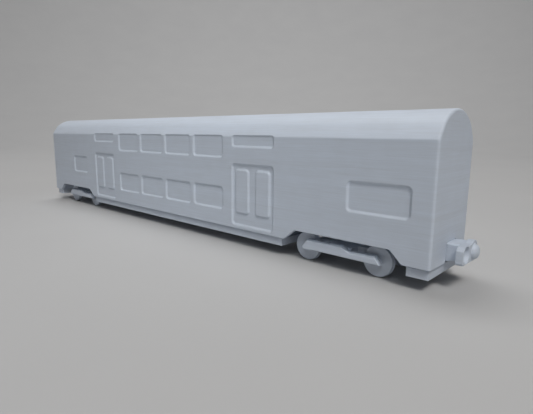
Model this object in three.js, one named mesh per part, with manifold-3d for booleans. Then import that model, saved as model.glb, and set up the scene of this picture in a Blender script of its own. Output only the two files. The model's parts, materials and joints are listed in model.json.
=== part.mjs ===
// H0 (1:87) model of a double-deck passenger coach, printed body and running gear.
// Millimetres. +X runs along the coach towards its front coupler, +Y across, +Z up.
// The origin is under the middle of the coach, at the level of the wheel flanges.
import * as THREE from 'three';
import { mergeVertices } from 'three/addons/utils/BufferGeometryUtils.js';
import Module from 'manifold-3d';

const wasm = await Module();
wasm.setup();

// ---------- driving dimensions ----------
// wheels and axles
const WHEEL_SEG = 24;            // facets round a wheel
const TREAD_R = 5.2;             // running tread radius
const FLANGE_R = 5.4;            // flange radius
const WHEEL_IN_Y = 7.2;          // back of the wheel (back-to-back 14.4)
const FLANGE_Y = 7.9;            // where flange meets tread
const WHEEL_OUT_Y = 9.1;         // outer face of the wheel
const AXLE_R = 1.0;
const AXLE_HALF = 9.0;
const AXLE_Z = FLANGE_R * Math.cos(Math.PI / WHEEL_SEG);
const WHEELBASE = 28.0;
// bogies
const PIVOT_X = 97.2;            // bogie pivots, either side of the middle
// body
const HALF_L = 130.0;            // end wall from the middle
const HALF_W = 14.0;             // side wall from the middle
const SKIRT_Z = 7.3;             // bottom edge of the body sides
const CANT_Z = 44.3;             // crease between side and roof
const WALL = 1.6;
const EDGE_R = 0.8;              // rounding of the end edges
// recesses in the sides
const REC_D = 0.75;              // depth of every recess
const REC_B = 1.15;              // width of its sloping edge
const REC_R = 1.9;               // corner radius
// bogie cut-outs: inner bottom, inner top, outer top, outer bottom
const CUT_TOP_Z = 11.3;
const CUT_FRONT = [75.6, 80.7, 117.3, 121.9];
const CUT_REAR = [-74.6, -80.0, -117.3, -121.9];
// underframe
const UF_HALF_W = 12.9;          // below the body
const UF_IN_W = 12.1;            // inside the body
const UF_BOTTOM = 4.1;
const UF_TOP = 6.9;
const UF_REAR_X = -73.9;
const UF_FRONT_X = 73.9;
const DECK_X = 64.0;             // start of the raised deck
const DECK_Z = 12.1;
const DECK_T = 2.0;
const END_X0 = 122.5;            // end block
const END_X1 = 129.3;
// couplers
const COUP_PIVOT_X = 126.0;
const SHANK = [-2.1, 4.9];       // sides of the coupler shank, wider behind the cone
const SHANK_X0 = 128.65;         // where the wide shank starts, inside the end wall
const NOTCH = [-2.5, 5.35];      // sides of the opening in the end wall
const NOTCH_TOP_Z = 13.85;
const HEAD_X0 = 133.9;
const HEAD_X1 = 136.1;

// ---------- solid helpers ----------
function solid(geo) {
  const g = geo.clone();
  g.deleteAttribute('normal');
  g.deleteAttribute('uv');
  const m = mergeVertices(g, 1e-5);
  return new wasm.Manifold(new wasm.Mesh({
    numProp: 3,
    vertProperties: new Float32Array(m.attributes.position.array),
    triVerts: new Uint32Array(m.index.array),
  }));
}

function geometry(man) {
  const mesh = man.getMesh();
  const g = new THREE.BufferGeometry();
  const n = mesh.vertProperties.length / mesh.numProp;
  const pos = new Float32Array(n * 3);
  for (let i = 0; i < n; i++) {
    for (let k = 0; k < 3; k++) pos[3 * i + k] = mesh.vertProperties[i * mesh.numProp + k];
  }
  g.setAttribute('position', new THREE.BufferAttribute(pos, 3));
  g.setIndex(new THREE.BufferAttribute(new Uint32Array(mesh.triVerts), 1));
  g.computeVertexNormals();
  return g;
}

function box(x0, x1, y0, y1, z0, z1) {
  const g = new THREE.BoxGeometry(x1 - x0, y1 - y0, z1 - z0);
  g.translate((x0 + x1) / 2, (y0 + y1) / 2, (z0 + z1) / 2);
  return solid(g);
}

function postZ(r, z0, z1, x, y, seg = 16) {
  const g = new THREE.CylinderGeometry(r, r, z1 - z0, seg);
  g.rotateX(Math.PI / 2);
  g.translate(x, y, (z0 + z1) / 2);
  return solid(g);
}

function rodY(r, y0, y1, x, z, seg = 16) {
  const g = new THREE.CylinderGeometry(r, r, y1 - y0, seg);
  g.rotateY(Math.PI / seg);
  g.translate(x, (y0 + y1) / 2, z);
  return solid(g);
}

// A closed body through rings of points. Each ring holds the same number of
// [x, y, z] points; the rings are capped at both ends.
function loft(rings) {
  const n = rings[0].length;
  const flat = rings.flat();
  const c0 = new THREE.Vector3(...rings[0][0]);
  const ax = new THREE.Vector3(...rings[rings.length - 1][0]).sub(c0);
  // newell normal of the first ring
  const nn = new THREE.Vector3();
  for (let i = 0; i < n; i++) {
    const a = rings[0][i], b = rings[0][(i + 1) % n];
    nn.x += (a[1] - b[1]) * (a[2] + b[2]);
    nn.y += (a[2] - b[2]) * (a[0] + b[0]);
    nn.z += (a[0] - b[0]) * (a[1] + b[1]);
  }
  const along = nn.dot(ax) > 0;
  const drop = ['x', 'y', 'z'].reduce((p, k) => (Math.abs(nn[k]) > Math.abs(nn[p]) ? k : p), 'x');
  const uv = (p) => (drop === 'x' ? new THREE.Vector2(p[1], p[2])
    : drop === 'y' ? new THREE.Vector2(p[2], p[0]) : new THREE.Vector2(p[0], p[1]));
  const tri = [];
  const cap = (off, ring, front) => {
    const pts = ring.map(uv);
    const idx = THREE.ShapeUtils.triangulateShape(pts, []);
    // faces come out in the order of a counter-clockwise contour
    for (const f of idx) {
      const [a, b, c] = f;
      const pa = pts[a], pb = pts[b], pc = pts[c];
      const area = (pb.x - pa.x) * (pc.y - pa.y) - (pc.x - pa.x) * (pb.y - pa.y);
      const posDir = area > 0;            // normal along +drop axis
      const want = front;                 // true: normal along +drop axis
      tri.push(...(posDir === want ? [off + a, off + b, off + c] : [off + a, off + c, off + b]));
    }
  };
  const up = ax[drop] > 0;                // loft runs along +drop axis
  cap(0, rings[0], !up);
  cap((rings.length - 1) * n, rings[rings.length - 1], up);
  for (let k = 0; k < rings.length - 1; k++) {
    for (let i = 0; i < n; i++) {
      const a = k * n + i, b = k * n + (i + 1) % n, c = a + n, d = b + n;
      if (along) tri.push(a, b, d, a, d, c);
      else tri.push(a, d, b, a, c, d);
    }
  }
  const g = new THREE.BufferGeometry();
  g.setAttribute('position', new THREE.BufferAttribute(new Float32Array(flat.flat()), 3));
  g.setIndex(tri);
  return solid(g);
}

const alongX = (pts, x) => pts.map(([y, z]) => [x, y, z]);
const alongY = (pts, y) => pts.map(([x, z]) => [x, y, z]);

function roundRect(x0, x1, z0, z1, r, k = 2) {
  const out = [];
  const c = [[x1 - r, z0 + r, -90], [x1 - r, z1 - r, 0], [x0 + r, z1 - r, 90], [x0 + r, z0 + r, 180]];
  for (const [cx, cz, a0] of c) {
    for (let i = 0; i <= k; i++) {
      const a = (a0 + (90 * i) / k) * Math.PI / 180;
      out.push([cx + r * Math.cos(a), cz + r * Math.sin(a)]);
    }
  }
  return out;
}

const join = (list) => list.reduce((a, b) => a.add(b));
const mirrorY = (man) => {
  const g = geometry(man);
  g.scale(1, -1, 1);
  const ix = g.index.array;
  for (let i = 0; i < ix.length; i += 3) { const t = ix[i]; ix[i] = ix[i + 1]; ix[i + 1] = t; }
  return solid(g);
};
const turned = (man, ang) => { const g = geometry(man); g.rotateZ(ang); return solid(g); };
const moved = (man, x, y, z) => { const g = geometry(man); g.translate(x, y, z); return solid(g); };

// ---------- body shell ----------
// roof: [inward from the side plane, above the cantrail]
const ROOF = [[0, 0], [0.75, 1.7], [1.85, 3.2], [3.15, 4.75], [4.6, 5.95], [6.2, 6.95],
  [7.9, 7.75], [9.6, 8.35], [11.6, 8.75], [14, 8.9]];

function section(halfW, topDrop, zBottom, zc) {
  const k = halfW / HALF_W;
  const left = ROOF.map(([i, h]) => [-(HALF_W - i) * k, zc + h - topDrop]);
  const right = ROOF.slice(0, -1).reverse().map(([i, h]) => [(HALF_W - i) * k, zc + h - topDrop]);
  return [[-halfW, zBottom], ...left, ...right, [halfW, zBottom]];
}

function outerSection(inset) {
  const H = 8.9 + CANT_Z - SKIRT_Z;
  return section(HALF_W, 0, SKIRT_Z, CANT_Z).map(([y, z]) => [
    y * (HALF_W - inset) / HALF_W, SKIRT_Z + (z - SKIRT_Z) * (H - inset) / H]);
}

function recess(x0, x1, z0, z1, r = REC_R) {
  const y = -HALF_W;
  const a = roundRect(x0, x1, z0, z1, r);
  const b = roundRect(x0 + REC_B, x1 - REC_B, z0 + REC_B, z1 - REC_B, Math.max(r - REC_B, 0.45));
  return loft([alongY(a, y - 2), alongY(a, y), alongY(b, y + REC_D)]);
}

function raised(x0, x1, z0, z1, r = 1.9) {
  const y = -HALF_W;
  const a = roundRect(x0, x1, z0, z1, r);
  const b = roundRect(x0 + REC_B, x1 - REC_B, z0 + REC_B, z1 - REC_B, r - REC_B * 0.6);
  return loft([alongY(b, y + 0.04), alongY(a, y + REC_D), alongY(a, y + REC_D + 1)]);
}

const rails = [];
const ringsEnd = [0, 30, 60, 90].map((d) => {
  const a = d * Math.PI / 180;
  return [EDGE_R * (1 - Math.sin(a)), EDGE_R * (1 - Math.cos(a))];
});
for (const [dx, inset] of [...ringsEnd].reverse()) rails.push(alongX(outerSection(inset), -HALF_L + dx));
for (const [dx, inset] of ringsEnd) rails.push(alongX(outerSection(inset), HALF_L - dx));
let shell = loft(rails);
{
  const inner = section(HALF_W - WALL, WALL, SKIRT_Z - 3, CANT_Z);
  shell = shell.subtract(loft([alongX(inner, -HALF_L + WALL), alongX(inner, HALF_L - WALL)]));
}
// recesses on one side, repeated on the other
const WIN_X0 = -42.45, WIN_PITCH = 21.7, WIN_W = 19.9;
const DOOR_C = [59.0, -59.0];
const DOOR_HALF = 11.5;
const sideCuts = [];
for (let i = 0; i < 4; i++) {
  const x = WIN_X0 + i * WIN_PITCH;
  sideCuts.push(recess(x, x + WIN_W, 35.4, CANT_Z + 0.95));
  sideCuts.push(recess(x, x + WIN_W, 13.9, 24.0));
}
for (const c of DOOR_C) {
  sideCuts.push(recess(c - DOOR_HALF, c + DOOR_HALF, 39.9, CANT_Z + 0.95));
  let door = recess(c - DOOR_HALF, c + DOOR_HALF, 8.5, 33.85);
  for (const s of [-5.55, 5.55]) door = door.subtract(raised(c + s - 4.1, c + s + 4.1, 13.3, 31.8));
  sideCuts.push(door);
}
sideCuts.push(recess(101.4, 123.5, 20.8, 31.2));       // window at the front end
sideCuts.push(recess(-99.3, -80.8, 20.8, 31.2));       // window near the rear door
const side = join(sideCuts);
shell = shell.subtract(side).subtract(mirrorY(side));
// bogie cut-outs
for (const [bi, ti, to, bo] of [CUT_FRONT, CUT_REAR]) {
  const s = Math.sign(bi);
  const pts = [[bi, 5], [bi, SKIRT_Z], [ti, CUT_TOP_Z], [to, CUT_TOP_Z],
    [bo - s * 1.5, SKIRT_Z + 1.0], [bo - s * 0.9, SKIRT_Z + 0.3], [bo, SKIRT_Z], [bo, 5]];
  shell = shell.subtract(loft([alongY(pts, -20), alongY(pts, 20)]));
}
// notches for the couplers
for (const s of [-1, 1]) {
  const [y0, y1] = s > 0 ? NOTCH : [-NOTCH[1], -NOTCH[0]];
  shell = shell.subtract(box(Math.min(s * 127, s * 131), Math.max(s * 127, s * 131), y0, y1, 5, NOTCH_TOP_Z));
}
// bosses for the body screws, on the inside of the walls
const BODY_SCREW_X = 57.0, BODY_SCREW_Y = 9.4;
for (const sx of [-1, 1]) for (const sy of [-1, 1]) {
  const x = sx * BODY_SCREW_X, y = sy * BODY_SCREW_Y;
  const y0 = sy > 0 ? 7.0 : -12.6, y1 = sy > 0 ? 12.6 : -7.0;
  shell = shell.add(box(x - 2.6, x + 2.6, y0, y1, 7.4, 20.0));
  shell = shell.subtract(postZ(1.1, 6.5, 16.5, x, y, 12));
}

// ---------- underframe ----------
let uf = box(UF_REAR_X, UF_FRONT_X, -UF_HALF_W, UF_HALF_W, UF_BOTTOM, UF_TOP);
for (const sy of [-1, 1]) {
  uf = uf.add(box(-52, 52, Math.min(sy * 10.6, sy * UF_IN_W), Math.max(sy * 10.6, sy * UF_IN_W), UF_TOP - 0.5, 9.6));
}
for (const s of [-1, 1]) {
  const bx = (a, b, ...r) => box(Math.min(s * a, s * b), Math.max(s * a, s * b), ...r);
  uf = uf.add(bx(DECK_X, DECK_X + 3.5, -UF_IN_W, UF_IN_W, UF_TOP - 0.5, DECK_Z + DECK_T));
  uf = uf.add(bx(DECK_X, 128.1, -UF_IN_W, UF_IN_W, DECK_Z, DECK_Z + DECK_T));
  // end block under the headstock
  uf = uf.add(bx(END_X0, END_X1, -UF_HALF_W, UF_HALF_W, UF_BOTTOM, UF_TOP));
  uf = uf.add(bx(END_X0, 128.0, -6.0, 6.0, UF_TOP - 0.5, 8.7));
  uf = uf.add(bx(END_X0, 128.1, 5.6, UF_IN_W, UF_TOP - 0.5, DECK_Z + 0.5));
  uf = uf.add(bx(END_X0, 128.1, -UF_IN_W, -5.6, UF_TOP - 0.5, DECK_Z + 0.5));
  // bogie pivot boss
  uf = uf.add(postZ(4.2, 9.95, DECK_Z + 0.5, s * PIVOT_X, 0));
  uf = uf.add(postZ(3.6, DECK_Z + 0.5, 17.0, s * PIVOT_X, 0));
  uf = uf.subtract(postZ(1.4, 9, 16.2, s * PIVOT_X, 0, 10));
  // coupler pivot hole, counterbored from below
  uf = uf.subtract(postZ(1.2, 3, 15, s * COUP_PIVOT_X, 0, 12));
  uf = uf.subtract(postZ(2.2, 3, 5.5, s * COUP_PIVOT_X, 0, 16));
  // body screw holes, counterbored from below
  for (const sy of [-1, 1]) {
    uf = uf.subtract(postZ(1.2, 3, 8, s * BODY_SCREW_X, sy * BODY_SCREW_Y, 12));
    uf = uf.subtract(postZ(2.2, 3, 5.3, s * BODY_SCREW_X, sy * BODY_SCREW_Y, 16));
  }
  // ballast screw holes
  uf = uf.subtract(postZ(1.1, 5.0, 8, s * 40, 0, 12));
}

// ---------- ballast ----------
let ballast = box(-48, 48, -9.5, 9.5, 7.2, 10.2);
for (const s of [-1, 1]) ballast = ballast.subtract(postZ(1.2, 6, 12, s * 40, 0, 12));

// ---------- screws: pan head and plain shank ----------
function screwUp(x, y, headZ, headH, headR, shankR, tipZ) {
  // head below, tip above
  const pts = [[0, headZ], [headR * 0.72, headZ], [headR, headZ + headH * 0.45], [headR, headZ + headH],
    [shankR, headZ + headH], [shankR, tipZ - shankR * 0.8], [0.3, tipZ], [0, tipZ]];
  const g = new THREE.LatheGeometry(pts.map(([r, z]) => new THREE.Vector2(r, z)), 12);
  g.rotateX(Math.PI / 2);
  g.translate(x, y, 0);
  let m = solid(g);
  // cross slot in the head
  const d = headH * 0.45;
  m = m.subtract(box(x - headR * 0.55, x + headR * 0.55, y - 0.2, y + 0.2, headZ - 1, headZ + d));
  m = m.subtract(box(x - 0.2, x + 0.2, y - headR * 0.55, y + headR * 0.55, headZ - 1, headZ + d));
  return m;
}
function screwDown(x, y, headZ, headH, headR, shankR, tipZ) {
  const m = screwUp(0, 0, 0, headH, headR, shankR, headZ - tipZ);
  const g = geometry(m);
  g.rotateX(Math.PI);
  g.translate(x, y, headZ);
  return solid(g);
}

// ---------- bogie frame ----------
const BEAM = [ // [x, z] seen from the -Y side: raised behind, stepped down in front
  [-13.9, 4.75], [-10.6, 4.75], [-10.2, 5.0], [16.5, 4.95], [14.4, 7.65], [5.1, 7.35], [1.8, 8.85], [-1.9, 8.95],
  [-2.5, 8.72], [-12.4, 8.65], [-14.6, 5.7]];
const BEAM_FRONT = [
  [-13.4, 4.9], [-10.7, 4.9], [-10.4, 5.12], [16.1, 5.1], [14.7, 6.9], [5.7, 6.65], [2.4, 8.2], [-1.8, 8.35],
  [-2.4, 8.22], [-12.0, 8.15], [-13.9, 5.8]];
function bogieFrame() {
  const beam = loft([alongY(BEAM_FRONT, -12.5), alongY(BEAM, -11.7), alongY(BEAM, -10.0)]);
  const plateOut = [[-16.6, 3.9], [-11.4, 3.9], [-10.4, 5.9], [10.4, 5.9], [11.4, 3.9], [16.6, 3.9],
    [16.6, 7.0], [15.4, 8.2], [-15.4, 8.2], [-16.6, 7.0]];
  let f = beam.add(turned(beam, Math.PI));
  for (const y of [[-6.6, -4.6], [4.6, 6.6]]) f = f.add(loft([alongY(plateOut, y[0]), alongY(plateOut, y[1])]));
  f = f.add(box(-5.2, 5.2, -10.4, 10.4, 5.9, 8.2));
  f = f.add(postZ(4.6, 5.9, 9.2, 0, 0));
  f = f.subtract(postZ(1.45, 4, 11, 0, 0, 16));
  for (const x of [-WHEELBASE / 2, WHEELBASE / 2]) {
    f = f.subtract(rodY(1.1, -7, 7, x, AXLE_Z));
    f = f.subtract(box(x - 0.88, x + 0.88, -7, 7, 3, AXLE_Z - 0.2));
    const vee = [[x - 1.7, 3.4], [x + 1.7, 3.4], [x + 0.8, 4.4], [x - 0.8, 4.4]];
    f = f.subtract(loft([alongY(vee, -7), alongY(vee, 7)]));
  }
  return f;
}

// ---------- wheels and axles ----------
function wheelGeo(sign) {
  const p = [[1.08, WHEEL_IN_Y], [FLANGE_R, WHEEL_IN_Y], [FLANGE_R, FLANGE_Y - 0.25], [TREAD_R, FLANGE_Y],
    [TREAD_R, WHEEL_OUT_Y], [1.08, WHEEL_OUT_Y], [1.08, WHEEL_IN_Y]];
  const g = new THREE.LatheGeometry(p.map(([r, y]) => new THREE.Vector2(r, y)), WHEEL_SEG);
  g.rotateY(Math.PI / WHEEL_SEG);
  if (sign < 0) g.rotateZ(Math.PI);
  return g;
}
function axleGeo() {
  const h = AXLE_HALF;
  const p = [[0, -h], [AXLE_R - 0.25, -h], [AXLE_R, -h + 0.25], [AXLE_R, h - 0.25], [AXLE_R - 0.25, h], [0, h]];
  const g = new THREE.LatheGeometry(p.map(([r, y]) => new THREE.Vector2(r, y)), 16);
  g.rotateY(Math.PI / 16);
  return g;
}

// ---------- coupler: cone-and-cup centre coupler on a swinging shank ----------
const CUP_Y = 3.0, CUP_Z = 11.15, CUP_R = 2.6, CUP_D = 1.75, CONE_R = 2.4;
function couplerBody() {
  // head: the half with the cone stands a little higher
  const head = [[-5.5, 8.3], [5.5, 8.2], [6.1, 8.8], [6.1, 13.3], [4.7, 14.45], [2.6, 14.45], [1.2, 13.75],
    [-4.6, 13.7], [-6.1, 12.6], [-6.1, 8.9]];
  let c = loft([alongX(head, HEAD_X0), alongX(head, HEAD_X1)]);
  const shank = (zb, zn, zf) => [[SHANK[0], zb], [SHANK[1], zb], [SHANK[1], zf - 0.4], [SHANK[1] - 0.4, zf],
    [SHANK[0] + 0.5, zn], [SHANK[0], zn - 0.5]];
  c = c.add(loft([alongX(shank(7.95, 13.7, 13.7), SHANK_X0), alongX(shank(7.95, 13.7, 13.7), HALF_L),
    alongX(shank(8.9, 13.72, 14.1), HEAD_X0 + 0.5)]));
  c = c.add(box(COUP_PIVOT_X, SHANK_X0 + 0.6, -1.5, 1.5, 9.0, 11.8));
  c = c.add(postZ(2.6, 9.0, 11.8, COUP_PIVOT_X, 0));
  c = c.subtract(postZ(1.2, 8, 13, COUP_PIVOT_X, 0, 16));
  // cone on one half of the face, matching cup in the other
  const cone = new THREE.LatheGeometry([[0, 0], [CONE_R, 0], [CONE_R, 1.0], [2.3, 1.6], [1.85, 2.3], [1.2, 2.65], [0, 2.7]]
    .map(([r, h]) => new THREE.Vector2(r, h)), 20);
  cone.rotateZ(-Math.PI / 2);
  cone.translate(HEAD_X1 - 1.0, CUP_Y, CUP_Z);
  c = c.add(solid(cone));
  const cup = new THREE.LatheGeometry([[0, 0], [1.3, 0], [2.1, 0.6], [CUP_R, CUP_D], [CUP_R, CUP_D + 1], [0, CUP_D + 1]]
    .map(([r, h]) => new THREE.Vector2(r, h)), 20);
  cup.rotateZ(-Math.PI / 2);
  cup.translate(HEAD_X1 - CUP_D, -CUP_Y, CUP_Z);
  c = c.subtract(solid(cup));
  return c;
}

// ---------- scene graph ----------
const coach = new THREE.Group();
const printed = () => new THREE.MeshStandardMaterial({ color: 0xc9ced4, roughness: 0.62, metalness: 0.0 });
const steel = () => new THREE.MeshStandardMaterial({ color: 0x9a9c9f, roughness: 0.35, metalness: 0.9 });
const zinc = () => new THREE.MeshStandardMaterial({ color: 0xb9bcc0, roughness: 0.4, metalness: 0.85 });
function put(parent, name, geo, mat, x = 0, y = 0, z = 0) {
  const m = new THREE.Mesh(geo, mat);
  m.name = name;
  m.position.set(x, y, z);
  parent.add(m);
  return m;
}

put(coach, 'body_shell', geometry(shell), printed());
put(coach, 'underframe', geometry(uf), printed());
put(coach, 'ballast_bar', geometry(ballast), steel());
for (const [tag, s] of [['front', 1], ['rear', -1]]) {
  put(coach, `ballast_screw_${tag}`, geometry(screwDown(s * 40, 0, 11.55, 1.2, 1.9, 0.9, 5.3)), zinc());
  for (const [hand, sy] of [['left', 1], ['right', -1]]) {
    put(coach, `body_screw_${tag}_${hand}`,
      geometry(screwUp(s * BODY_SCREW_X, sy * BODY_SCREW_Y, 4.15, 1.0, 1.9, 0.9, 15.5)), zinc());
  }
  put(coach, `bogie_pivot_screw_${tag}`, geometry(screwUp(s * PIVOT_X, 0, 4.2, 1.5, 2.4, 1.2, 15.6)), zinc());
  const washer = new THREE.LatheGeometry([[1.45, 9.35], [3.5, 9.35], [3.5, 9.8], [1.45, 9.8], [1.45, 9.35]]
    .map(([r, z]) => new THREE.Vector2(r, z)), 20);
  washer.rotateX(Math.PI / 2);
  put(coach, `bogie_pivot_washer_${tag}`, washer, steel(), s * PIVOT_X, 0, 0);
  put(coach, `coupler_pivot_screw_${tag}`, geometry(screwUp(s * COUP_PIVOT_X, 0, 4.2, 1.2, 1.9, 1.0, 13.6)), zinc());

  const bogie = new THREE.Group();
  bogie.position.set(s * PIVOT_X, 0, 0);
  coach.add(bogie);
  put(bogie, `bogie_frame_${tag}`, geometry(bogieFrame()), printed());
  for (const [pos, sx] of [['leading', 1], ['trailing', -1]]) {
    const set = new THREE.Group();
    set.position.set(sx * WHEELBASE / 2, 0, AXLE_Z);
    bogie.add(set);
    put(set, `axle_${tag}_${pos}`, axleGeo(), steel());
    put(set, `wheel_${tag}_${pos}_left`, wheelGeo(1), printed());
    put(set, `wheel_${tag}_${pos}_right`, wheelGeo(-1), printed());
  }
  const c = couplerBody();
  put(coach, `coupler_${tag}`, geometry(s > 0 ? c : turned(c, Math.PI)), printed());
}

export default coach;
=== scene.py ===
import bpy
import bmesh
import json
import math
import numpy as np
from mathutils import Matrix, Vector


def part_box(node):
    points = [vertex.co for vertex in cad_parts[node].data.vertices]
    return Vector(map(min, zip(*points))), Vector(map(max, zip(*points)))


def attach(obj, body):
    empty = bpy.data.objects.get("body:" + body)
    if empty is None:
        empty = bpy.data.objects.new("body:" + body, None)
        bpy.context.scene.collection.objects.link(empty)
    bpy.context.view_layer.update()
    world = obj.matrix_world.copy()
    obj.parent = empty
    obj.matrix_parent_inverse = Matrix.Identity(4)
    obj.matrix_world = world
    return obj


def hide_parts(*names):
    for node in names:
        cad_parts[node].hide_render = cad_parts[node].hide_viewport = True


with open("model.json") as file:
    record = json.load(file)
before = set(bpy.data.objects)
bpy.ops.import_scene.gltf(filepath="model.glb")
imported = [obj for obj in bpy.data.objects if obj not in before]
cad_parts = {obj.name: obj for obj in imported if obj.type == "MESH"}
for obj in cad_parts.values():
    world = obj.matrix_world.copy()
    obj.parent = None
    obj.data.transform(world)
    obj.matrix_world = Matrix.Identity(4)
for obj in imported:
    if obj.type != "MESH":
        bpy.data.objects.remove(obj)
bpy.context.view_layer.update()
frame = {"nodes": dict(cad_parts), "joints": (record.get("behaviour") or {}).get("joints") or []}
MM = 0.001
scene = bpy.context.scene
scene.view_settings.view_transform = "Standard"

# ---------------------------------------------------------------- places, in millimetres, from the frame
def node_box(name):
    lo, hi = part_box(name)
    return lo / MM, hi / MM

BODY_LO, BODY_HI = node_box("body_shell")
UF_LO, UF_HI = node_box("underframe")
HALF_L, HALF_W = BODY_HI.x, BODY_HI.y
SKIRT, TOP = BODY_LO.z, BODY_HI.z
JOINTS = {j["name"]: j for j in frame["joints"]}
def joint_at(name):
    return Vector(JOINTS[name]["pos_m"]) / MM

PIVOT = joint_at("bogie_front_swivel").x
AXLE = joint_at("wheelset_front_leading_spin")
AXLE_Z = AXLE.z
HALF_BASE = AXLE.x - PIVOT
COUP_X = joint_at("coupler_front_swing").x
CANT = 44.3                     # crease between side and roof
WALL = 1.6
EDGE = 0.8                      # rounding of the end edges
ROOF = [(0, 0), (0.92, 1.55), (1.98, 3.15), (3.2, 4.75), (4.6, 5.95), (6.2, 6.95),
        (7.9, 7.75), (9.6, 8.35), (11.6, 8.75), (14, 8.9)]
DEPTH, BEVEL, CORNER = 0.66, 0.70, 1.9
WIN_X0, WIN_PITCH, WIN_W = -42.45, 21.7, 19.9
DOORS = (59.0, -59.0)
DOOR_HALF = 11.5
CUT_TOP = 11.3
CUTS = ([75.6, 80.7, 117.3, 121.9], [-74.6, -80.0, -117.3, -121.9])
RECESSES = []                   # x0, x1, z0, z1
for i in range(4):
    x = WIN_X0 + i * WIN_PITCH
    RECESSES += [(x, x + WIN_W, 35.4, CANT + 0.95), (x, x + WIN_W, 13.9, 24.0)]
PANELS = []
for c in DOORS:
    RECESSES += [(c - DOOR_HALF, c + DOOR_HALF, 39.9, CANT + 0.95), (c - DOOR_HALF, c + DOOR_HALF, 8.5, 33.85)]
    PANELS += [(c + s - 4.1, c + s + 4.1, 13.3, 31.8) for s in (-5.55, 5.55)]
RECESSES += [(101.4, 123.5, 20.8, 31.2), (-99.3, -80.8, 20.8, 31.2)]

# ---------------------------------------------------------------- small helpers
def new_object(name, verts, faces, scale=MM):
    me = bpy.data.meshes.new(name)
    me.from_pydata([tuple(float(a) * scale for a in v) for v in verts], [], [tuple(map(int, f)) for f in faces])
    me.update()
    ob = bpy.data.objects.new(name, me)
    scene.collection.objects.link(ob)
    return ob

def drop(*objs):
    for o in objs:
        me = o.data
        bpy.data.objects.remove(o)
        if me.users == 0:
            bpy.data.meshes.remove(me)

def evaluated(ob):
    """The object's mesh with its modifiers, as plain data on the object."""
    bpy.context.view_layer.update()
    dg = bpy.context.evaluated_depsgraph_get()
    me = bpy.data.meshes.new_from_object(ob.evaluated_get(dg))
    old = ob.data
    ob.modifiers.clear()
    ob.data = me
    if old.users == 0:
        bpy.data.meshes.remove(old)
    return ob

def boolean(base, others, op):
    coll = bpy.data.collections.new("operands")
    for o in others:
        coll.objects.link(o)
    m = base.modifiers.new("b", "BOOLEAN")
    m.operation, m.solver = op, "EXACT"
    m.operand_type, m.collection = "COLLECTION", coll
    evaluated(base)
    drop(*others)
    bpy.data.collections.remove(coll)
    return base

def tidy(ob, angle=0.6, dist=1e-3):
    bm = bmesh.new()
    bm.from_mesh(ob.data)
    bmesh.ops.remove_doubles(bm, verts=bm.verts, dist=dist)
    bmesh.ops.dissolve_limit(bm, angle_limit=math.radians(angle), verts=bm.verts, edges=bm.edges)
    bmesh.ops.recalc_face_normals(bm, faces=bm.faces)
    bm.to_mesh(ob.data)
    bm.free()
    return ob

def bevel(ob, width, segments=3, angle=32.0, pick=None):
    bm = bmesh.new()
    bm.from_mesh(ob.data)
    bm.normal_update()
    edges = [e for e in bm.edges if len(e.link_faces) == 2 and e.calc_face_angle(0) > math.radians(angle)
             and (pick is None or pick(e))]
    bmesh.ops.bevel(bm, geom=edges, offset=width, offset_type="OFFSET", segments=segments, profile=0.5,
                    affect="EDGES", clamp_overlap=True)
    bm.to_mesh(ob.data)
    bm.free()
    return ob

def to_metres(ob):
    ob.data.transform(Matrix.Scale(MM, 4))
    ob.data.update()
    return ob

def smooth(ob, angle=35.0, weighted=True):
    me = ob.data
    me.shade_smooth()
    me.set_sharp_from_angle(angle=math.radians(angle))
    if weighted:
        m = ob.modifiers.new("normals", "WEIGHTED_NORMAL")
        m.mode, m.weight, m.keep_sharp = "FACE_AREA", 60, True
    return ob

def box_mm(x0, x1, y0, y1, z0, z1):
    v = [(x, y, z) for x in (x0, x1) for y in (y0, y1) for z in (z0, z1)]
    f = [(0, 1, 3, 2), (4, 6, 7, 5), (0, 4, 5, 1), (2, 3, 7, 6), (0, 2, 6, 4), (1, 5, 7, 3)]
    return new_object("t", v, f, 1.0)

def fix_normals(ob):
    bm = bmesh.new()
    bm.from_mesh(ob.data)
    bmesh.ops.recalc_face_normals(bm, faces=bm.faces)
    bm.to_mesh(ob.data)
    bm.free()
    return ob

def loft_mm(rings):
    n = len(rings[0])
    v = [p for r in rings for p in r]
    f = [tuple(range(n)), tuple(range((len(rings) - 1) * n, len(rings) * n))[::-1]]
    for k in range(len(rings) - 1):
        for i in range(n):
            a, b = k * n + i, k * n + (i + 1) % n
            f.append((a, b, b + n, a + n))
    return fix_normals(new_object("t", v, f, 1.0))

def prism_y(pts, y0, y1):
    return loft_mm([[(x, y0, z) for x, z in pts], [(x, y1, z) for x, z in pts]])

def prism_x(pts, x0, x1):
    return loft_mm([[(x0, y, z) for y, z in pts], [(x1, y, z) for y, z in pts]])

def lathe_mm(profile, seg=64, axis="Z", at=(0, 0, 0), phase=0.0):
    """profile: list of (radius, height). Radius 0 at the ends closes the body on the axis."""
    verts, rows = [], []
    for r, h in profile:
        if r < 1e-9:
            rows.append([len(verts)] * seg)
            verts.append((0, 0, h))
        else:
            rows.append(list(range(len(verts), len(verts) + seg)))
            for i in range(seg):
                a = 2 * math.pi * i / seg + phase
                verts.append((r * math.cos(a), r * math.sin(a), h))
    faces = []
    loop = profile[0] == profile[-1]
    if loop:
        verts = verts[:-seg]
        rows[-1] = rows[0]
    for k in range(len(rows) - 1):
        for i in range(seg):
            j = (i + 1) % seg
            q = [rows[k][i], rows[k][j], rows[k + 1][j], rows[k + 1][i]]
            q = [a for n, a in enumerate(q) if a not in q[:n]]
            if len(q) > 2:
                faces.append(q)
    def put(p):
        x, y, z = p
        if axis == "X":
            x, y, z = z, x, y
        elif axis == "Y":
            x, y, z = y, z, x
        return (x + at[0], y + at[1], z + at[2])
    return fix_normals(new_object("t", [put(p) for p in verts], faces, 1.0))

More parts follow.
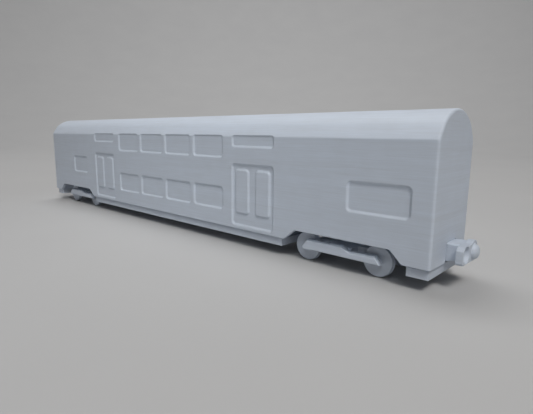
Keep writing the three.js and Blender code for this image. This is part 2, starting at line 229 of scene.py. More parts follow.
def turn_z(ob, angle):
    ob.data.transform(Matrix.Rotation(angle, 4, "Z"))
    ob.data.update()
    return ob

def shift(ob, x, y, z):
    ob.data.transform(Matrix.Translation((x, y, z)))
    ob.data.update()
    return ob

def copy_of(ob, name):
    c = bpy.data.objects.new(name, ob.data.copy())
    scene.collection.objects.link(c)
    return c

def rename(ob, name):
    ob.name = name
    ob.data.name = name
    return ob

# ---------------------------------------------------------------- materials
def base_material(name):
    m = bpy.data.materials.new(name)
    m.use_nodes = True
    nt = m.node_tree
    nt.nodes.clear()
    out = nt.nodes.new("ShaderNodeOutputMaterial")
    bsdf = nt.nodes.new("ShaderNodeBsdfPrincipled")
    nt.links.new(bsdf.outputs[0], out.inputs[0])
    return m, nt, bsdf

def math_node(nt, op, a, b=None, clamp=False):
    n = nt.nodes.new("ShaderNodeMath")
    n.operation, n.use_clamp = op, clamp
    for k, v in enumerate((a, b)):
        if v is None:
            continue
        if isinstance(v, (int, float)):
            n.inputs[k].default_value = v
        else:
            nt.links.new(v, n.inputs[k])
    return n.outputs[0]

def noise(nt, vec, scale, detail=3.0, rough=0.55, dims="3D"):
    n = nt.nodes.new("ShaderNodeTexNoise")
    n.noise_dimensions = dims
    n.inputs["Scale"].default_value = scale
    n.inputs["Detail"].default_value = detail
    n.inputs["Roughness"].default_value = rough
    nt.links.new(vec, n.inputs["Vector"])
    return n.outputs["Fac"]

def mapping(nt, vec, scale):
    n = nt.nodes.new("ShaderNodeMapping")
    n.inputs["Scale"].default_value = scale
    nt.links.new(vec, n.inputs["Vector"])
    return n.outputs["Vector"]

def printed_plastic(name, colour, axis="Z", pitch=0.2, line=0.5):
    """Filament-printed plastic: layer lines across the given axis, uneven bands, soft sheen."""
    m, nt, bsdf = base_material(name)
    co = nt.nodes.new("ShaderNodeTexCoord").outputs["Object"]
    mm = mapping(nt, co, (1000, 1000, 1000))
    flat = {"X": (1.0, 0.03, 0.03), "Y": (0.03, 1.0, 0.03), "Z": (0.03, 0.03, 1.0)}[axis]
    along = mapping(nt, mm, flat)                       # stretched along the layers
    sep = nt.nodes.new("ShaderNodeSeparateXYZ")
    nt.links.new(mm, sep.inputs[0])
    h = sep.outputs[axis]
    # layer profile: rounded beads with slightly uneven height
    wob = noise(nt, along, 0.9, 2.0)
    ph = math_node(nt, "ADD", math_node(nt, "MULTIPLY", h, 2 * math.pi / pitch), math_node(nt, "MULTIPLY", wob, 1.6))
    bead = math_node(nt, "ABSOLUTE", math_node(nt, "SINE", math_node(nt, "MULTIPLY", ph, 0.5)))
    uneven = noise(nt, along, 2.2, 4.0, 0.65)
    broad = noise(nt, along, 0.42, 3.0, 0.6)
    speck = noise(nt, mm, 2.6, 4.0, 0.6)
    soft = noise(nt, mm, 0.16, 2.0, 0.5)
    height = math_node(nt, "ADD", math_node(nt, "MULTIPLY", bead, 0.010 * line),
                       math_node(nt, "ADD", math_node(nt, "MULTIPLY", uneven, 0.030 * line),
                                 math_node(nt, "ADD", math_node(nt, "MULTIPLY", broad, 0.055 * line),
                                           math_node(nt, "MULTIPLY", speck, 0.010))))
    bump = nt.nodes.new("ShaderNodeBump")
    bump.inputs["Strength"].default_value = 1.0
    bump.inputs["Distance"].default_value = MM
    nt.links.new(height, bump.inputs["Height"])
    nt.links.new(bump.outputs[0], bsdf.inputs["Normal"])
    # colour: barely uneven from layer to layer and over the part
    tint = math_node(nt, "ADD", math_node(nt, "MULTIPLY", uneven, 0.14),
                     math_node(nt, "ADD", math_node(nt, "MULTIPLY", broad, 0.10), math_node(nt, "MULTIPLY", soft, 0.04)))
    ramp = nt.nodes.new("ShaderNodeMix")
    ramp.data_type = "RGBA"
    a, b = [c * 0.89 for c in colour], [min(1.0, c * 1.11) for c in colour]
    ramp.inputs["A"].default_value = (a[0] * 1.01, a[1], a[2] * 0.985, 1)
    ramp.inputs["B"].default_value = (b[0] * 0.99, b[1], b[2] * 1.015, 1)
    spread = math_node(nt, "ADD", math_node(nt, "MULTIPLY", tint, 1.9 / 0.28), -0.45, clamp=True)
    nt.links.new(spread, ramp.inputs["Factor"])
    nt.links.new(ramp.outputs["Result"], bsdf.inputs["Base Color"])
    rough = math_node(nt, "ADD", 0.44, math_node(nt, "MULTIPLY", uneven, 0.16))
    nt.links.new(rough, bsdf.inputs["Roughness"])
    bsdf.inputs["IOR"].default_value = 1.46
    bsdf.inputs["Specular IOR Level"].default_value = 0.42
    return m

def steel(name, colour, axis="Z", rough=0.32, grain=1.0):
    m, nt, bsdf = base_material(name)
    co = nt.nodes.new("ShaderNodeTexCoord").outputs["Object"]
    mm = mapping(nt, co, (1000, 1000, 1000))
    st = {"X": (0.08, 3, 3), "Y": (3, 0.08, 3), "Z": (3, 3, 0.6)}[axis]
    drawn = noise(nt, mapping(nt, mm, st), 2.5, 4.0, 0.6)
    stain = noise(nt, mm, 0.5, 3.0, 0.6)
    mix = nt.nodes.new("ShaderNodeMix")
    mix.data_type = "RGBA"
    mix.inputs["A"].default_value = tuple(c * 0.78 for c in colour) + (1,)
    mix.inputs["B"].default_value = tuple(min(1, c * 1.12) for c in colour) + (1,)
    nt.links.new(math_node(nt, "ADD", math_node(nt, "MULTIPLY", drawn, 0.6), math_node(nt, "MULTIPLY", stain, 0.45), clamp=True),
                 mix.inputs["Factor"])
    nt.links.new(mix.outputs["Result"], bsdf.inputs["Base Color"])
    bsdf.inputs["Metallic"].default_value = 1.0
    nt.links.new(math_node(nt, "ADD", rough, math_node(nt, "MULTIPLY", drawn, 0.22)), bsdf.inputs["Roughness"])
    bump = nt.nodes.new("ShaderNodeBump")
    bump.inputs["Strength"].default_value = 1.0
    bump.inputs["Distance"].default_value = MM
    nt.links.new(math_node(nt, "MULTIPLY", drawn, 0.02 * grain), bump.inputs["Height"])
    nt.links.new(bump.outputs[0], bsdf.inputs["Normal"])
    return m

GREY = (0.567, 0.624, 0.709)
MAT_BODY = printed_plastic("printed_body", GREY, "Z", 0.2, 1.0)
MAT_FRAME = printed_plastic("printed_frame", GREY, "Z", 0.2, 0.9)
MAT_WHEEL = printed_plastic("printed_wheel", GREY, "Y", 0.15, 0.7)
MAT_AXLE = steel("steel_axle", (0.56, 0.57, 0.58), "Y", 0.26)
MAT_BALLAST = steel("steel_ballast", (0.40, 0.41, 0.43), "X", 0.42, 2.0)
MAT_SCREW = steel("steel_screw", (0.62, 0.63, 0.65), "Z", 0.30)

def finish_piece(ob, name, body, material, slot, *nodes, angle=35.0, weighted=True):
    rename(ob, name)
    to_metres(ob)
    smooth(ob, angle, weighted)
    ob.data.materials.clear()
    ob.data.materials.append(material)
    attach(ob, body)
    if nodes:
        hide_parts(*nodes)
    return ob

# ---------------------------------------------------------------- body shell
def soft_plus(s, k):
    return k * np.logaddexp(0.0, s / k)

def inside(x, z, r):
    """Distance inside a rounded rectangle, negative outside."""
    x0, x1, z0, z1, rad = r
    cx, cz, hx, hz = (x0 + x1) / 2, (z0 + z1) / 2, (x1 - x0) / 2, (z1 - z0) / 2
    qx, qz = np.abs(x - cx) - (hx - rad), np.abs(z - cz) - (hz - rad)
    out = np.hypot(np.maximum(qx, 0), np.maximum(qz, 0)) + np.minimum(np.maximum(qx, qz), 0) - rad
    return -out

def ramp(s, width, height, k=0.07):
    return height / width * (soft_plus(s, k) - soft_plus(s - width, k))

def depth(x, z):
    d = np.zeros_like(x)
    for r in RECESSES:
        d = np.maximum(d, ramp(inside(x, z, (*r, CORNER)) - 0.15, BEVEL, DEPTH))
    for p in PANELS:
        d = d - ramp(inside(x, z, (*p, 1.9)) - 0.15, BEVEL, DEPTH - 0.04)
    return d

def roof_curve(n):
    """Points of the roof from the cantrail to the ridge, as (inset, rise), on one smooth curve."""
    p = np.array(ROOF, float)
    t = np.r_[0, np.cumsum(np.hypot(*np.diff(p, axis=0).T))]
    m = np.gradient(p, t, axis=0)
    m[0] = (p[1] - p[0]) / (t[1] - t[0])
    m[-1] = (1.0, 0.0)
    s = np.linspace(0, t[-1], n)
    out = []
    for u in s:
        k = min(max(np.searchsorted(t, u) - 1, 0), len(t) - 2)
        h = t[k + 1] - t[k]
        w = (u - t[k]) / h
        a, b, c, d = 2 * w**3 - 3 * w**2 + 1, w**3 - 2 * w**2 + w, -2 * w**3 + 3 * w**2, w**3 - w**2
        out.append(a * p[k] + b * h * m[k] + c * p[k + 1] + d * h * m[k + 1])
    return np.array(out)

def cut_profile():
    """Lower edge of the side against x, with its corners eased."""
    pts = [(-HALF_L, SKIRT)]
    bi, ti, to, bo = CUTS[1]
    pts += [(bo, SKIRT), (bo + 0.9, SKIRT + 0.3), (bo + 1.5, SKIRT + 1.0), (to, CUT_TOP), (ti, CUT_TOP), (bi, SKIRT)]
    bi, ti, to, bo = CUTS[0]
    pts += [(bi, SKIRT), (ti, CUT_TOP), (to, CUT_TOP), (bo - 1.5, SKIRT + 1.0), (bo - 0.9, SKIRT + 0.3), (bo, SKIRT)]
    pts += [(HALF_L, SKIRT)]
    return np.array(pts)

CUT_PTS = cut_profile()
def lower_edge(x, r=0.35):
    x = np.asarray(x, float)
    acc = np.zeros_like(x)
    ws = np.array([1, 2, 3, 4, 3, 2, 1], float)
    for w, o in zip(ws / ws.sum(), np.linspace(-r, r, 7)):
        acc += w * np.interp(x + o, CUT_PTS[:, 0], CUT_PTS[:, 1])
    return acc

def lines(edges, lo, hi, gap, extra=()):
    t = [-0.36, -0.18, -0.04, 0.1, 0.26, 0.42, 0.58, 0.72, 0.84, 0.98, 1.16, 1.45, 1.8]
    v = [lo, hi, *extra]
    for e, sgn, rad in edges:
        v += [e + sgn * a for a in t]
        if rad > 1.5:
            v += [e + sgn * a for a in (2.05, 2.35)]
    v = sorted(a for a in v if lo - 1e-6 <= a <= hi + 1e-6)
    out = [v[0]]
    keep = set(round(a, 4) for a in (lo, hi, *extra))
    for a in v[1:]:
        if a - out[-1] < 0.075:
            if round(a, 4) in keep:
                out[-1] = a
            continue
        out.append(a)
    full = [out[0]]
    for a in out[1:]:
        n = int(math.ceil((a - full[-1]) / gap))
        b = full[-1]
        full += [b + (a - b) * k / n for k in range(1, n + 1)]
    return np.array(full)

def build_shell():
    ex = [(r[0], 1, CORNER) for r in RECESSES] + [(r[1], -1, CORNER) for r in RECESSES]
    ex += [(p[0], 1, 1.9) for p in PANELS] + [(p[1], -1, 1.9) for p in PANELS]
    inner_x = HALF_L - WALL
    extra = [-inner_x, inner_x]
    for cut in CUTS:
        s = 1 if cut[0] > 0 else -1
        for c in (cut[0], cut[1], cut[2], cut[3] - s * 1.5, cut[3] - s * 0.9, cut[3]):
            extra += [c + o for o in (-0.35, -0.12, 0.12, 0.35)]
    xs = lines(ex, -(HALF_L - EDGE), HALF_L - EDGE, 3.0, extra)
    ez = [(r[2], 1, CORNER) for r in RECESSES] + [(r[3], -1, CORNER) for r in RECESSES if r[3] < CANT]
    ez += [(p[2], 1, 1.9) for p in PANELS] + [(p[3], -1, 1.9) for p in PANELS]
    zs = lines(ez, SKIRT, CANT - 0.6, 3.0, [SKIRT + 0.5])
    # rows above the cantrail: close together where the recesses run out into the slope
    rise = list(np.arange(-0.48, 1.3, 0.12)) + [1.5, 1.8]
    rc = roof_curve(400)
    rc = rc[rc[:, 1] <= 9]
    later = roof_curve(40)
    later = [tuple(p) for p in later if p[1] > 1.95]
    # side rows and low roof rows are given by height, the rest by the roof curve
    rows = [("z", z) for z in zs] + [("z", CANT + r) for r in rise] + [("r", p) for p in later]
    nrow = len(rows)
    # end rings: rounding, then a narrow flat ring before the end face
    ang = np.radians([15, 30, 45, 60, 75, 90])
    end = [(HALF_L - EDGE + EDGE * math.sin(a), EDGE * (1 - math.cos(a))) for a in ang] + [(HALF_L, EDGE + 0.3)]
    cols = [(-x, i) for x, i in end[::-1]] + [(x, 0.0) for x in xs] + [(x, i) for x, i in end]
    X = np.array([c[0] for c in cols])
    I = np.array([c[1] for c in cols])
    zb = lower_edge(X)
    H = TOP - SKIRT
    half = np.zeros((len(cols), nrow, 3))
    slope = (ROOF[1][0] - 0) / (ROOF[1][1] - 0)
    ri = np.interp
    for j, (kind, v) in enumerate(rows):
        if kind == "z":
            z = np.full(len(cols), float(v))
            if v < 18.0:
                z = zb + (v - SKIRT) * (18.0 - zb) / (18.0 - SKIRT)
            u = v - CANT
            raw = u * slope if u < 0 else ri(u, rc[:, 1], rc[:, 0])
            base = float(soft_plus(np.array(raw), 0.07)) if abs(u) < 1.5 else max(raw, 0.0)
            d = depth(X, z)
            # where a recess meets the sloping roof the deeper of the two is the surface
            k = 0.05
            y = np.where(d > 1e-4, k * np.logaddexp(base / k, d / k), base) if base > 0 else d
            y = np.maximum(y, base)
        else:
            z = np.full(len(cols), CANT + v[1])
            y = np.full(len(cols), v[0])
        half[:, j] = np.stack([X, -HALF_W + y, z], 1)
    # end insets shrink the section towards the middle line
    half[:, :, 1] *= ((HALF_W - I) / HALF_W)[:, None]
    half[:, :, 2] = SKIRT + (half[:, :, 2] - SKIRT) * ((H - I) / H)[:, None]
    # the printed seam up the corner edges is slightly uneven
    rng = np.random.RandomState(5)
    zz = half[0, :, 2]
    for c, (x, i) in enumerate(cols):
        if 0.05 < i < EDGE and abs(x) > HALF_L - EDGE:
            w = math.sin(math.pi * min(1.0, i / EDGE))
            n = (0.018 * np.sin(zz * 1.9 + (2.0 if x > 0 else 0.3)) + 0.022 * np.sin(zz * 0.83 + 1.1)
                 + 0.03 * np.exp(-((zz - 33.6) / 0.5) ** 2) - 0.035 * np.exp(-((zz - 30.9) / 0.6) ** 2)) * w
            half[c, :, 1] += n * (zz < CANT - 1)
    ring = np.concatenate([half, (half * [1, -1, 1])[:, :-1][:, ::-1]], 1)     # full ring, ridge shared
    nr = ring.shape[1]
    verts = [tuple(p) for p in ring.reshape(-1, 3)]
    faces = []
    nc = len(cols)
    idx = np.arange(nc * nr).reshape(nc, nr)
    a, b, c, d = idx[:-1, :-1], idx[1:, :-1], idx[1:, 1:], idx[:-1, 1:]
    faces += [tuple(q) for q in np.stack([a, b, c, d], -1).reshape(-1, 4)]
    # inner skin
    ic = [k for k, x in enumerate(X) if I[k] == 0 and abs(x) <= inner_x + 1e-6]
    kw = (HALF_W - WALL) / HALF_W
    inner_half = []
    for z in (None, 15.0, 21.0, 32.0):
        inner_half.append((-(HALF_W - WALL), z))
    for i_, r_ in ROOF:
        inner_half.append((-(HALF_W - i_) * kw, CANT + r_ - WALL))
    irow = len(inner_half)
    base = len(verts)
    inr = 2 * irow - 1
    for k in ic:
        pts = [(y, zb[k] if z is None else z) for y, z in inner_half]
        pts = pts + [(-y, z) for y, z in pts[:-1][::-1]]
        verts += [(X[k], y, z) for y, z in pts]
    iid = base + np.arange(len(ic) * inr).reshape(len(ic), inr)
    a, b, c, d = iid[:-1, :-1], iid[:-1, 1:], iid[1:, 1:], iid[1:, :-1]
    faces += [tuple(q) for q in np.stack([a, b, c, d], -1).reshape(-1, 4)]
    # lower rims of the side walls
    for side, jo, ji in ((0, 0, 0), (1, nr - 1, inr - 1)):
        for m in range(len(ic) - 1):
            faces.append((idx[ic[m], jo], iid[m, ji], iid[m + 1, ji], idx[ic[m + 1], jo]))
    # end walls with the coupler notch
    for s in (-1, 1):
        xo, xi = s * HALF_L, s * inner_x
        col = nc - 1 if s > 0 else 0
        icol = len(ic) - 1 if s > 0 else 0
        n0 = len(verts)
        n_lo, n_hi = (-2.5, 5.35) if s > 0 else (-5.35, 2.5)
        notch = [(n_hi, SKIRT), (n_hi, 13.85), (n_lo, 13.85), (n_lo, SKIRT)]
        verts += [(xo, y, z) for y, z in notch] + [(xi, y, z) for y, z in notch]
        o, i_ = [n0 + k for k in range(4)], [n0 + 4 + k for k in range(4)]
        faces.append(tuple(idx[col]) + tuple(o))
        faces.append(tuple(iid[icol]) + tuple(i_))
        faces += [(o[k], o[k + 1], i_[k + 1], i_[k]) for k in range(3)]
        seq = range(ic[-1], nc) if s > 0 else range(ic[0], -1, -1)
        # -Y foot, then +Y foot
        faces.append(tuple(idx[k, 0] for k in seq) + (o[3], i_[3], iid[icol, 0]))
        faces.append(tuple(idx[k, nr - 1] for k in seq) + (o[0], i_[0], iid[icol, inr - 1]))
    ob = fix_normals(new_object("shell", verts, faces, 1.0))
    bevel(ob, 0.2, 3, 50, lambda e: max(e.verts[0].co.z, e.verts[1].co.z) < 13.0 and e.is_convex)
    return ob

shell = build_shell()
print("shell faces", len(shell.data.polygons))
# screw bosses inside the walls
bosses = []
for sx in (-1, 1):
    for sy in (-1, 1):
        y0, y1 = sorted((sy * 7.0, sy * 12.6))
        bosses.append((sx * 57.0, sy * 9.4, y0, y1))
boss_parts = []
for x, y, y0, y1 in bosses:
    b = bevel(box_mm(x - 2.6, x + 2.6, y0, y1, 7.4, 20.0), 0.3, 2)
    h = lathe_mm([(0, 6.0), (0.92, 6.0), (0.92, 16.5), (0, 16.9)], 32, "Z", (x, y, 0))
    boss_parts.append(boolean(b, [h], "DIFFERENCE"))
bosses_ob = boss_parts[0]
for extra in boss_parts[1:]:
    bm = bmesh.new()
    bm.from_mesh(bosses_ob.data)
    bm.from_mesh(extra.data)
    bm.to_mesh(bosses_ob.data)
    bm.free()
    drop(extra)
finish_piece(bosses_ob, "body_screw_bosses", "coach_body", MAT_BODY, "printed_body")
finish_piece(shell, "body_print", "coach_body", MAT_BODY, "printed_body", "body_shell", angle=45)

# ---------------------------------------------------------------- underframe
def build_underframe():
    z0, z1 = UF_LO.z, 6.9
    w, wi = 12.9, 12.1
    adds = []
    for sy in (-1, 1):
        adds.append(box_mm(-52, 52, min(sy * 10.6, sy * wi), max(sy * 10.6, sy * wi), z1 - 0.5, 9.6))
    cuts = []
    for s in (-1, 1):
        def bx(a, b, *r):
            return box_mm(min(s * a, s * b), max(s * a, s * b), *r)
        adds += [bx(64.0, 67.5, -wi, wi, z1 - 0.5, 14.1), bx(64.2, 128.1, -wi, wi, 12.1, 14.1),
                 bx(122.5, 129.3, -w, w, z0, z1), bx(122.7, 128.0, -6, 6, z1 - 0.5, 8.7),
                 bx(122.7, 128.1, 5.6, wi, z1 - 0.5, 12.6), bx(122.7, 128.1, -wi, -5.6, z1 - 0.5, 12.6),
                 lathe_mm([(0, 9.95), (4.2, 9.95), (4.2, 12.6), (0, 12.6)], 64, "Z", (s * PIVOT, 0, 0)),
                 lathe_mm([(0, 12.4), (3.6, 12.4), (3.6, 17.0), (0, 17.0)], 64, "Z", (s * PIVOT, 0, 0))]
        cuts += [lathe_mm([(0, 9), (1.4, 9), (1.4, 16.2), (0, 16.2)], 40, "Z", (s * PIVOT, 0, 0)),
                 lathe_mm([(0, 3), (2.2, 3), (2.2, 5.5), (1.2, 5.5), (1.2, 15), (0, 15)], 48, "Z", (s * COUP_X, 0, 0)),
                 lathe_mm([(0, 5.0), (1.1, 5.0), (1.1, 8), (0, 8)], 32, "Z", (s * 40, 0, 0))]
        for sy in (-1, 1):
            cuts.append(lathe_mm([(0, 3), (2.2, 3), (2.2, 5.3), (1.2, 5.3), (1.2, 8), (0, 8)], 48, "Z",
                                 (s * 57.0, sy * 9.4, 0)))
    base = box_mm(-73.9, 73.9, -w, w, z0, z1)
    boolean(base, adds, "UNION")
    boolean(base, cuts, "DIFFERENCE")
    tidy(base)
    bevel(base, 0.18, 3, 40, lambda e: e.is_convex)
    return base

under = build_underframe()
print("underframe faces", len(under.data.polygons))
finish_piece(under, "underframe_print", "coach_body", MAT_FRAME, "printed_frame", "underframe", angle=40)

# ---------------------------------------------------------------- bogie frames
BEAM = [(-13.9, 4.75), (-10.6, 4.75), (-10.2, 5.0), (16.5, 4.95), (14.4, 7.65), (5.1, 7.35), (1.8, 8.85), (-1.9, 8.95),
        (-2.5, 8.72), (-12.4, 8.65), (-14.6, 5.7)]
BEAM_FRONT = [(-13.4, 4.9), (-10.7, 4.9), (-10.4, 5.12), (16.1, 5.1), (14.7, 6.9), (5.7, 6.65), (2.4, 8.2), (-1.8, 8.35),
              (-2.4, 8.22), (-12.0, 8.15), (-13.9, 5.8)]

def build_beam():
    b = loft_mm([[(x, y, z) for x, z in p] for p, y in ((BEAM_FRONT, -12.5), (BEAM, -11.7), (BEAM, -10.0))])
    return bevel(b, 0.2, 3, 18)

def build_bogie_frame():
    plate = [(-16.6, 3.9), (-11.4, 3.9), (-10.4, 5.9), (10.4, 5.9), (11.4, 3.9), (16.6, 3.9),
             (16.6, 7.0), (15.4, 8.2), (-15.4, 8.2), (-16.6, 7.0)]
    core = prism_y(plate, -6.6, -4.6)
    adds = [prism_y(plate, 4.6, 6.6), box_mm(-5.2, 5.2, -10.4, 10.4, 5.95, 8.15),
            lathe_mm([(0, 6.0), (4.6, 6.0), (4.6, 9.2), (0, 9.2)], 64)]
    cuts = [lathe_mm([(0, 4), (1.45, 4), (1.45, 11), (0, 11)], 40)]
    for x in (-HALF_BASE, HALF_BASE):
        cuts.append(lathe_mm([(0, -7), (1.1, -7), (1.1, 7), (0, 7)], 40, "Y", (x, 0, AXLE_Z)))
        slot = [(x - 0.88, AXLE_Z), (x - 0.88, 4.3), (x - 1.75, 3.3), (x + 1.75, 3.3), (x + 0.88, 4.3), (x + 0.88, AXLE_Z)]
        cuts.append(prism_y(slot, -7, 7))
    boolean(core, adds, "UNION")
    boolean(core, cuts, "DIFFERENCE")
    tidy(core)
    bevel(core, 0.14, 2, 40, lambda e: e.is_convex)
    near = build_beam()
    far = turn_z(build_beam(), math.pi)
    boolean(core, [near, far], "UNION")
    return core

bogie = build_bogie_frame()
print("bogie faces", len(bogie.data.polygons))
for tag, s in (("front", 1), ("rear", -1)):
    c = shift(copy_of(bogie, "t"), s * PIVOT, 0, 0)
    finish_piece(c, f"bogie_{tag}_print", f"bogie_{tag}", MAT_FRAME, "printed_frame", f"bogie_frame_{tag}", angle=40)
drop(bogie)

# ---------------------------------------------------------------- wheels and axles
FLANGE = AXLE_Z                 # touches the floor
def wheel_profile():
    p = [(1.08, 7.2), (4.1, 7.2), (4.15, 7.24), (FLANGE - 0.28, 7.24)]
    for a in range(0, 181, 20):     # rounded flange
        t = math.radians(a)
        p.append((FLANGE - 0.3 + 0.3 * math.sin(t), 7.54 - 0.3 * math.cos(t)))
    p += [(5.24, 7.93), (5.2, 8.02), (5.18, 8.14), (5.15, 8.84)]
    for a in (0, 30, 60, 90):
        t = math.radians(a)
        p.append((4.91 + 0.24 * math.cos(t), 8.86 + 0.24 * math.sin(t)))
    p += [(1.25, 9.1), (1.08, 9.0), (1.08, 7.2)]
    return p

for tag, s in (("front", 1), ("rear", -1)):
    for pos, sx in (("leading", 1), ("trailing", -1)):
        x = s * PIVOT + sx * HALF_BASE
        body = f"wheelset_{tag}_{pos}"
        ax = lathe_mm([(0, -9.0), (0.7, -9.0), (0.92, -8.9), (1.0, -8.72), (1.0, 8.72), (0.92, 8.9), (0.7, 9.0), (0, 9.0)],
                      48, "Y", (x, 0, AXLE_Z))
        finish_piece(ax, f"axle_{tag}_{pos}_rod", body, MAT_AXLE, "steel_axle", f"axle_{tag}_{pos}")
        for hand, sy in (("left", 1), ("right", -1)):
            w = lathe_mm(wheel_profile(), 96, "Y")
            if sy < 0:
                turn_z(w, math.pi)
            shift(w, x, 0, AXLE_Z)
            finish_piece(w, f"wheel_{tag}_{pos}_{hand}_print", body, MAT_WHEEL, "printed_wheel",
                         f"wheel_{tag}_{pos}_{hand}", angle=40)

# ---------------------------------------------------------------- couplers
def build_coupler():
    hx0, hx1 = 133.9, 136.1
    head = [(-5.5, 8.3), (5.5, 8.2), (6.1, 8.8), (6.1, 13.3), (4.7, 14.45), (2.6, 14.45), (1.2, 13.75), (-4.6, 13.7),
            (-6.1, 12.6), (-6.1, 8.9)]
    c = prism_x(head, hx0, hx1)
    def shank(x, zb, zn, zf):
        return [(x, y, z) for y, z in ((-2.1, zb), (4.9, zb), (4.9, zf - 0.4), (4.5, zf), (-1.6, zn), (-2.1, zn - 0.5))]
    adds = [loft_mm([shank(128.65, 7.95, 13.7, 13.7), shank(130.0, 7.95, 13.7, 13.7), shank(hx0 + 0.5, 8.9, 13.72, 14.1)]),
            box_mm(COUP_X, 129.25, -1.5, 1.5, 9.0, 11.8),
            lathe_mm([(0, 9.0), (2.6, 9.0), (2.6, 11.8), (0, 11.8)], 64, "Z", (COUP_X, 0, 0)),
            lathe_mm([(0, 0), (2.4, 0), (2.4, 1.0), (2.38, 1.3), (2.24, 1.7), (1.95, 2.1), (1.5, 2.42), (0.9, 2.62), (0, 2.7)],
                     64, "X", (hx1 - 1.0, 3.0, 11.15))]
    cuts = [lathe_mm([(0, 8), (1.2, 8), (1.2, 13), (0, 13)], 40, "Z", (COUP_X, 0, 0)),
            lathe_mm([(0, 0), (0.8, 0.06), (1.5, 0.34), (2.1, 0.8), (2.6, 1.75), (2.7, 2.75), (0, 2.75)], 64, "X",
                     (hx1 - 1.75, -3.0, 11.15))]
    boolean(c, adds, "UNION")
    boolean(c, cuts, "DIFFERENCE")
    m = c.modifiers.new("v", "REMESH")
    m.mode, m.voxel_size, m.adaptivity = "VOXEL", 0.11, 0.0
    sm = c.modifiers.new("s", "SMOOTH")
    sm.factor, sm.iterations = 0.5, 9
    return evaluated(c)

coupler = build_coupler()
print("coupler faces", len(coupler.data.polygons))
for tag, a in (("front", 0.0), ("rear", math.pi)):
    c = turn_z(copy_of(coupler, "t"), a)
    finish_piece(c, f"coupler_{tag}_print", f"coupler_{tag}_arm", MAT_FRAME, "printed_frame", f"coupler_{tag}",
                 angle=60, weighted=False)
drop(coupler)

# ---------------------------------------------------------------- screws and washers
def build_screw(head_h, head_r, shank_r, length):
    """Pan head at the bottom from 0 to head_h, threaded shank up to length."""
    p = [(0, 0)]
    for a in range(10, 91, 16):
        t = math.radians(a)
        p.append((head_r * math.sin(t), head_h * 0.62 * (1 - math.cos(t))))
    p += [(head_r, head_h * 0.72), (head_r, head_h - 0.06), (head_r - 0.06, head_h), (shank_r * 0.8, head_h)]
    z, pitch = head_h + 0.25, 0.45
    while z < length - shank_r * 0.9 - pitch:
        p += [(shank_r * 0.8, z), (shank_r, z + pitch * 0.4), (shank_r, z + pitch * 0.5), (shank_r * 0.8, z + pitch * 0.9)]
        z += pitch
    p += [(shank_r * 0.8, length - shank_r * 0.8), (0.3, length), (0, length)]
    s = lathe_mm(p, 40)
    d = head_h * 0.5
    arm = head_r * 0.55
    cross = []
    for a in (0, math.pi / 2):
        t = loft_mm([[(-arm, -0.22, -1), (arm, -0.22, -1), (arm, 0.22, -1), (-arm, 0.22, -1)],
                     [(-arm, -0.2, 0.02), (arm, -0.2, 0.02), (arm, 0.2, 0.02), (-arm, 0.2, 0.02)],
                     [(-arm * 0.35, -0.12, d), (arm * 0.35, -0.12, d), (arm * 0.35, 0.12, d), (-arm * 0.35, 0.12, d)]])
        cross.append(turn_z(t, a + 0.4))
    return boolean(s, cross, "DIFFERENCE")

def place_screw(kind, name, node, x, y, z, down=False):
    s = build_screw(*kind)
    if down:
        s.data.transform(Matrix.Rotation(math.pi, 4, "X"))
    shift(s, x, y, z)
    finish_piece(s, name, "coach_body", MAT_SCREW, "steel_screw", node, angle=30)

for tag, s in (("front", 1), ("rear", -1)):
    place_screw((1.2, 1.9, 0.9, 6.25), f"ballast_{tag}_screw", f"ballast_screw_{tag}", s * 40, 0, 11.55, True)
    for hand, sy in (("left", 1), ("right", -1)):
        place_screw((1.0, 1.9, 0.9, 11.35), f"body_{tag}_{hand}_screw", f"body_screw_{tag}_{hand}", s * 57.0, sy * 9.4, 4.15)
    place_screw((1.5, 2.4, 1.2, 11.4), f"bogie_{tag}_pivot_screw", f"bogie_pivot_screw_{tag}", s * PIVOT, 0, 4.2)
    place_screw((1.2, 1.9, 1.0, 9.4), f"coupler_{tag}_pivot_screw", f"coupler_pivot_screw_{tag}", s * COUP_X, 0, 4.2)
    wz = node_box(f"bogie_pivot_washer_{tag}")
    lo, hi = wz[0].z, wz[1].z
    w = lathe_mm([(1.45, lo + 0.05), (1.5, lo), (3.44, lo), (3.5, lo + 0.05), (3.5, hi - 0.05), (3.44, hi), (1.5, hi),
                  (1.45, hi - 0.05), (1.45, lo + 0.05)], 64, "Z", (s * PIVOT, 0, 0))
    finish_piece(w, f"bogie_{tag}_washer", "coach_body", MAT_SCREW, "steel_screw", f"bogie_pivot_washer_{tag}", angle=30)

bar = frame["nodes"]["ballast_bar"]
bar.data.materials.clear()
bar.data.materials.append(MAT_BALLAST)

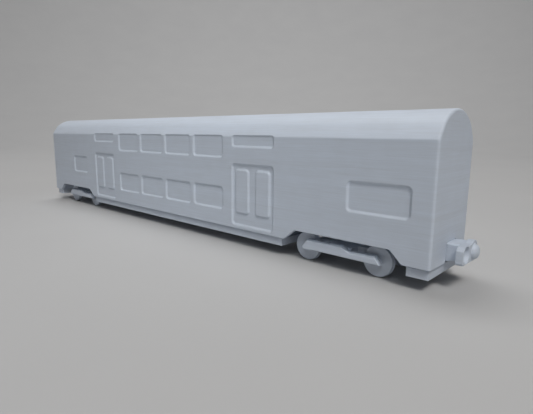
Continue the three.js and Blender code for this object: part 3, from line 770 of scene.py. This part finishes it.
# ---------------------------------------------------------------- floor, light, camera
def build_floor():
    # flat in the middle, then a long even curve up to the wall
    prof = [(0.0, 0.0), (0.4, 0.0), (0.9, 0.0)]
    for a in range(3, 91, 3):
        t = math.radians(a)
        prof.append((0.9 + 2.2 * math.sin(t), 2.2 * (1 - math.cos(t))))
    prof += [(3.1, 3.2)]
    seg, verts, faces = 96, [(0, 0, 0)], []
    for r, h in prof[1:]:
        for i in range(seg):
            a = 2 * math.pi * i / seg
            verts.append((r * math.cos(a), r * math.sin(a), h))
    for i in range(seg):
        faces.append((0, 1 + i, 1 + (i + 1) % seg))
    for k in range(len(prof) - 2):
        for i in range(seg):
            a, b = 1 + k * seg + i, 1 + k * seg + (i + 1) % seg
            faces.append((a, b, b + seg, a + seg)[::-1])
    ob = new_object("floor", verts, faces, 1.0)
    bm = bmesh.new()
    bm.from_mesh(ob.data)
    bmesh.ops.recalc_face_normals(bm, faces=bm.faces)
    if sum(f.normal.z for f in bm.faces) < 0:
        bmesh.ops.reverse_faces(bm, faces=bm.faces)
    bm.to_mesh(ob.data)
    bm.free()
    ob.data.shade_smooth()
    m, nt, bsdf = base_material("paper")
    co = nt.nodes.new("ShaderNodeTexCoord").outputs["Object"]
    n = noise(nt, co, 9.0, 3.0)
    mix = nt.nodes.new("ShaderNodeMix")
    mix.data_type = "RGBA"
    mix.inputs["A"].default_value = (0.47, 0.47, 0.475, 1)
    mix.inputs["B"].default_value = (0.51, 0.51, 0.51, 1)
    nt.links.new(n, mix.inputs["Factor"])
    nt.links.new(mix.outputs["Result"], bsdf.inputs["Base Color"])
    bsdf.inputs["Roughness"].default_value = 0.85
    bsdf.inputs["Specular IOR Level"].default_value = 0.2
    ob.data.materials.append(m)
    return ob

build_floor()

def area(name, loc, target, size, power, colour=(1, 1, 1)):
    l = bpy.data.lights.new(name, "AREA")
    l.shape, l.size, l.energy, l.color = "DISK", size, power, colour
    o = bpy.data.objects.new(name, l)
    o.location = loc
    d = Vector(target) - Vector(loc)
    o.rotation_euler = d.to_track_quat("-Z", "Y").to_euler()
    scene.collection.objects.link(o)
    return o

area("key", (0.927, -0.580, 1.302), (0, 0, 0.03), 0.42, 13.6, (1.0, 0.975, 0.945))
area("top", (-0.25, 0.06, 1.1), (-0.08, 0, 0), 0.5, 2.6)
area("backdrop", (-0.5, 0.6, 2.0), (-2.4, 2.6, 0.2), 1.6, 30.0)
area("backdrop_behind", (0.5, -0.6, 2.0), (2.4, -2.6, 0.2), 1.6, 5.0)
# a soft spot from the front whose edge fades out along the coach
lamp = bpy.data.lights.new("front", "SPOT")
lamp.energy, lamp.shadow_soft_size, lamp.color = 5.0, 0.12, (0.90, 0.955, 1.0)
lamp.spot_size, lamp.spot_blend = math.radians(24.0), 1.0
front = bpy.data.objects.new("front", lamp)
front.location = (0.22, -0.42, 0.50)
front.rotation_euler = (Vector((0.025, 0, 0.035)) - front.location).to_track_quat("-Z", "Y").to_euler()
scene.collection.objects.link(front)
world = bpy.data.worlds.new("studio")
scene.world = world
world.use_nodes = True
bg = world.node_tree.nodes["Background"]
bg.inputs[0].default_value = (0.93, 0.96, 1.0, 1)
bg.inputs[1].default_value = 0.03

# the view: right, down and forward directions, and the eye, in the row frame
RIGHT = Vector((0.73511, 0.67787, 0.01034))
DOWN = Vector((0.1219, -0.11716, -0.9856))
FWD = Vector((-0.6669, 0.72579, -0.16876))
cam_data = bpy.data.cameras.new("camera")
cam_data.sensor_fit = "HORIZONTAL"
cam_data.sensor_width = 36.0
cam_data.lens = 28.641
cam_data.clip_start, cam_data.clip_end = 0.01, 50
cam = bpy.data.objects.new("camera", cam_data)
rot = Matrix((RIGHT, -DOWN, -FWD)).transposed()
cam.matrix_world = Matrix.Translation((0.17375, -0.13010, 0.04517)) @ rot.to_4x4()
scene.collection.objects.link(cam)
scene.camera = cam
